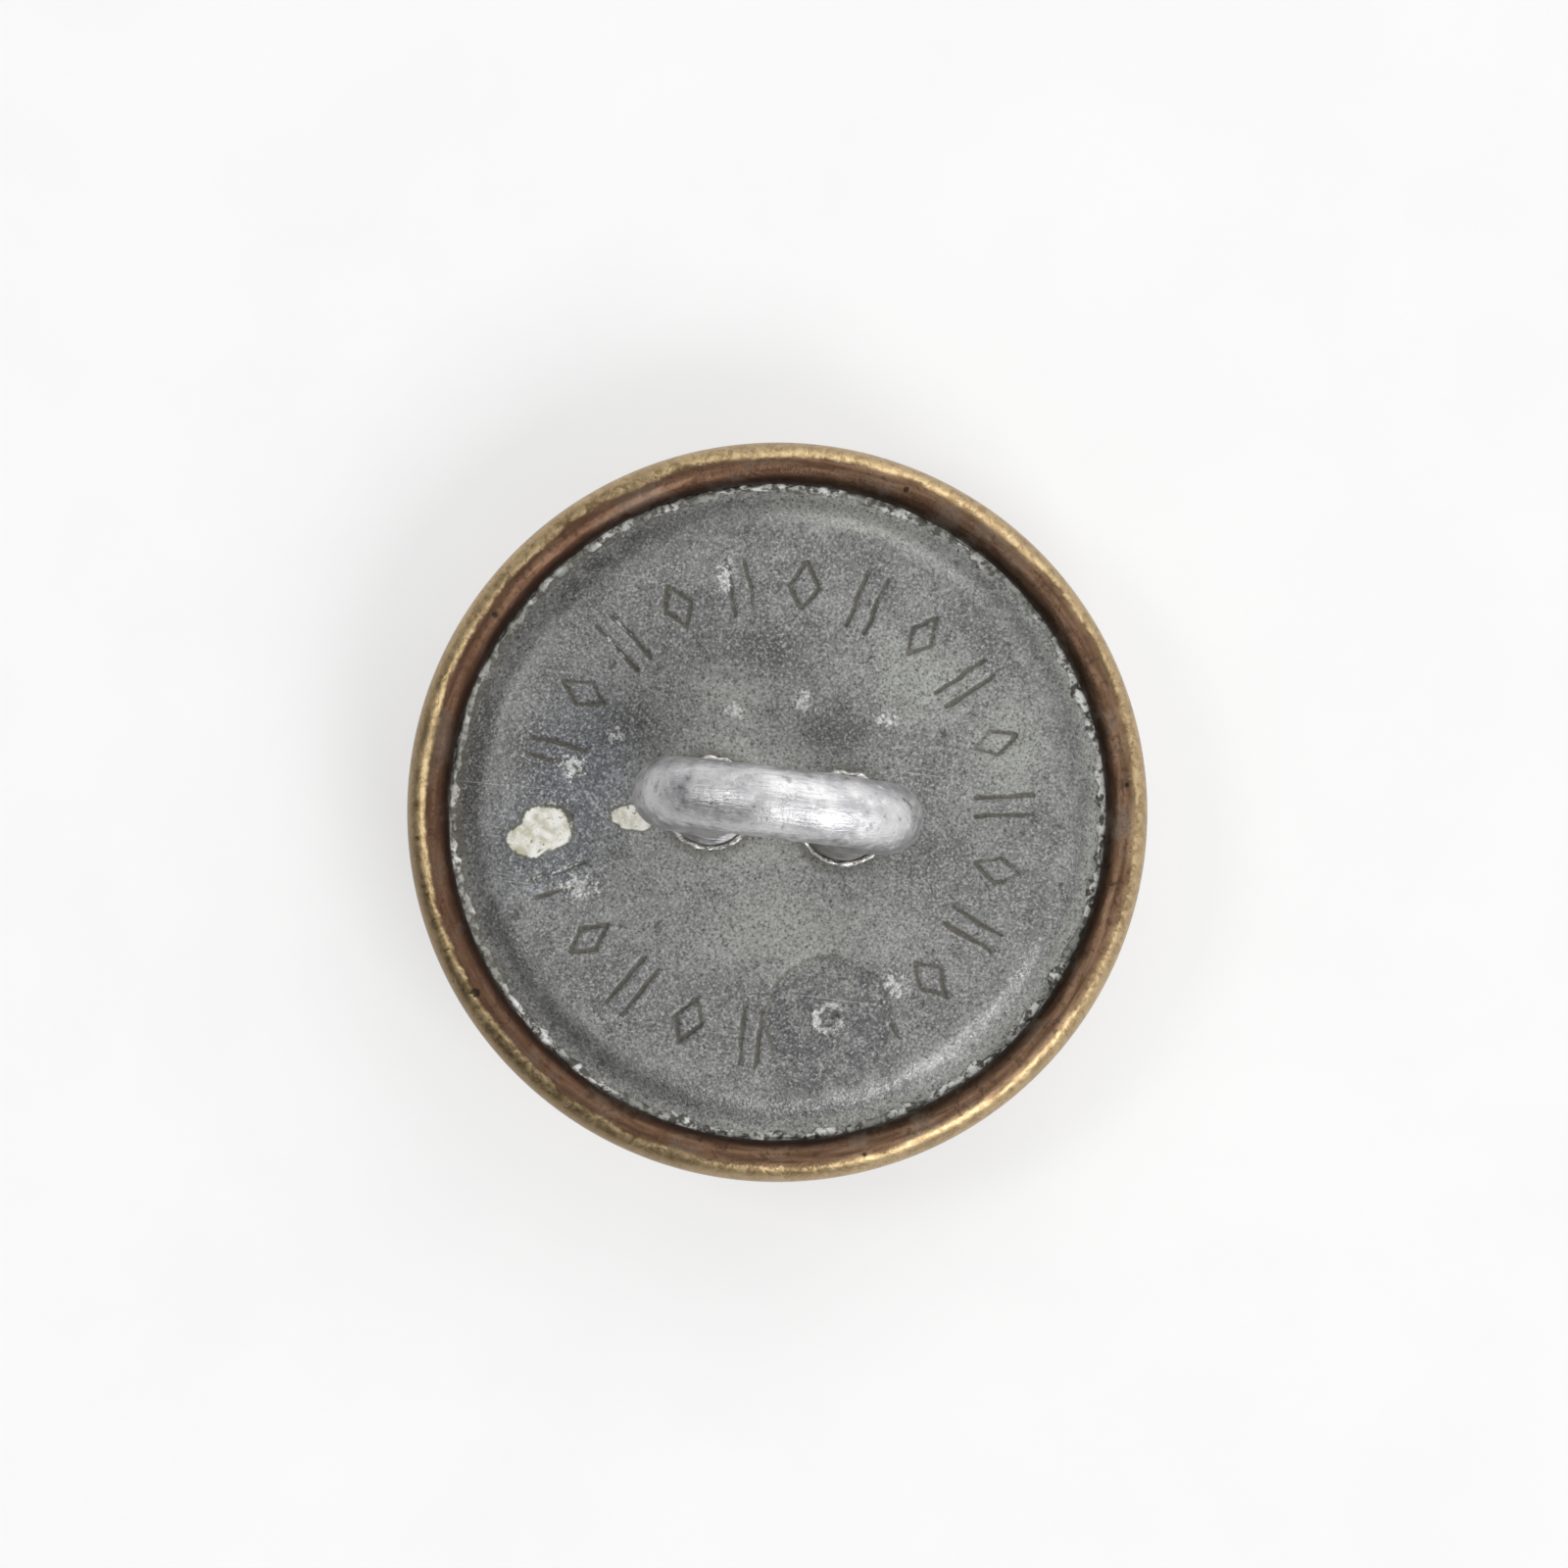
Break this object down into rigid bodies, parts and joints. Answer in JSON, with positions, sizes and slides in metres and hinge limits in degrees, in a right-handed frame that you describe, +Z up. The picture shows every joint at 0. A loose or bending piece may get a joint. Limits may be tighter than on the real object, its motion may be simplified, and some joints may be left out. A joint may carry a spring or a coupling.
{
  "type": "sew-on shank button",
  "caption": "Round metal sew-on button with a domed brass front rolled over a grey back plate and a thick wire loop shank.",
  "frame": {"origin": "centre of the button on the plane that its front border rests on", "axes": "+Z up through the shank, away from the front; the wire loop stands in the XZ plane, so a thread goes through it along Y"},
  "size_m": [0.022, 0.022, 0.0108],
  "materials": {
    "tarnished_brass": "satin",
    "oxidised_zinc": "matte",
    "worn_aluminium": "satin",
    "filler_card": "matte"
  },
  "bodies": {
    "root": {"front_shell": "tarnished_brass", "back_plate": "oxidised_zinc", "shank_loop": "worn_aluminium", "card_filler": "filler_card"}
  },
  "joints": []
}
